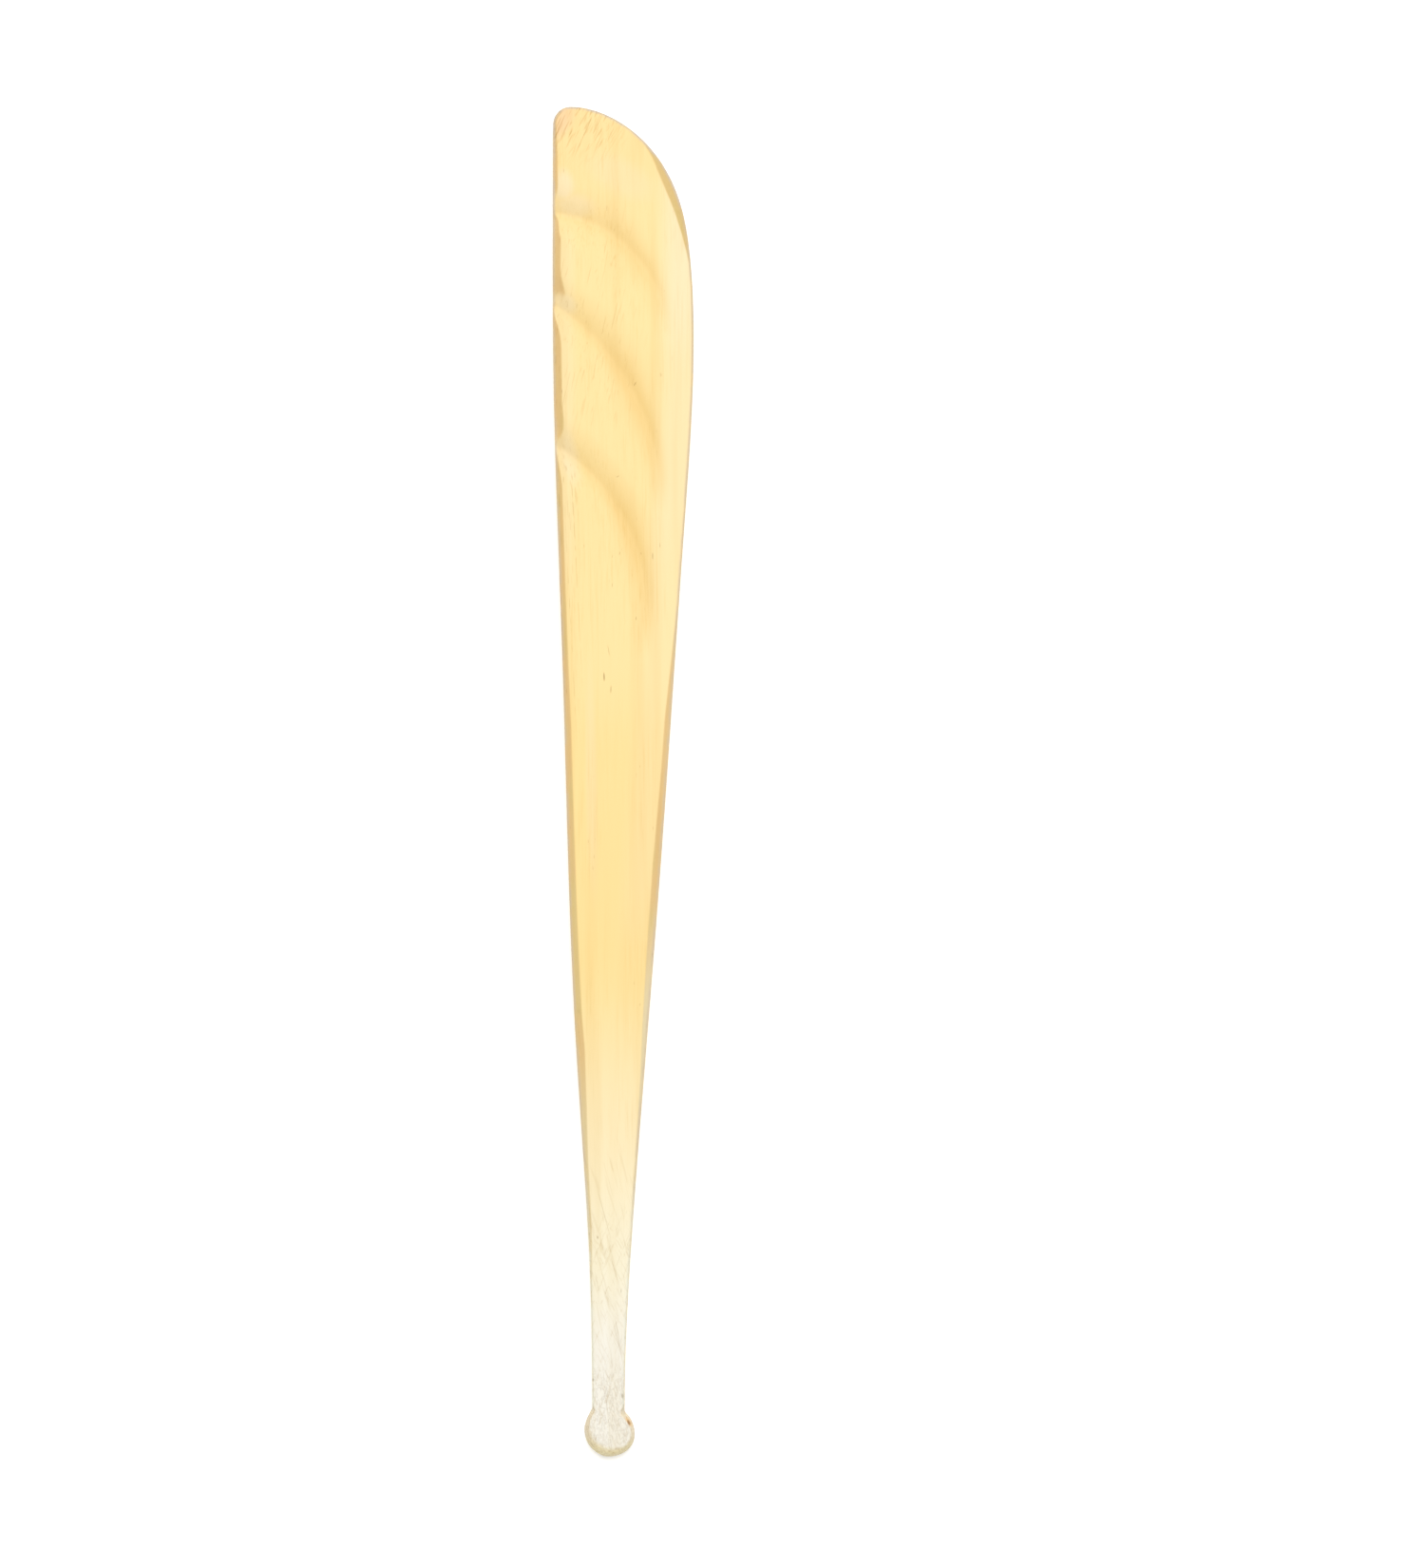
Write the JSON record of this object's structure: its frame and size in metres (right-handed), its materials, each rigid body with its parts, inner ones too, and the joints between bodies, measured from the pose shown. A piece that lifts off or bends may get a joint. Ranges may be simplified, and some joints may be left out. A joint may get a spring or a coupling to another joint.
{
  "type": "clay modeling tool",
  "caption": "One-piece wooden clay modeling tool: a flat knife blade with crescent flutes, a tapering handle and a small ball end.",
  "frame": {"origin": "under the middle of the tool's length and width, on the plane of its flat back", "axes": "+Y along the tool from the ball end to the blade's tip, +X across it to the blade's cutting edge, +Z out of the fluted face"},
  "size_m": [0.0156, 0.15, 0.0049],
  "materials": {
    "boxwood": "bare sanded wood, dry and matt"
  },
  "bodies": {
    "root": {"carved_wood_body": "boxwood"}
  },
  "joints": []
}
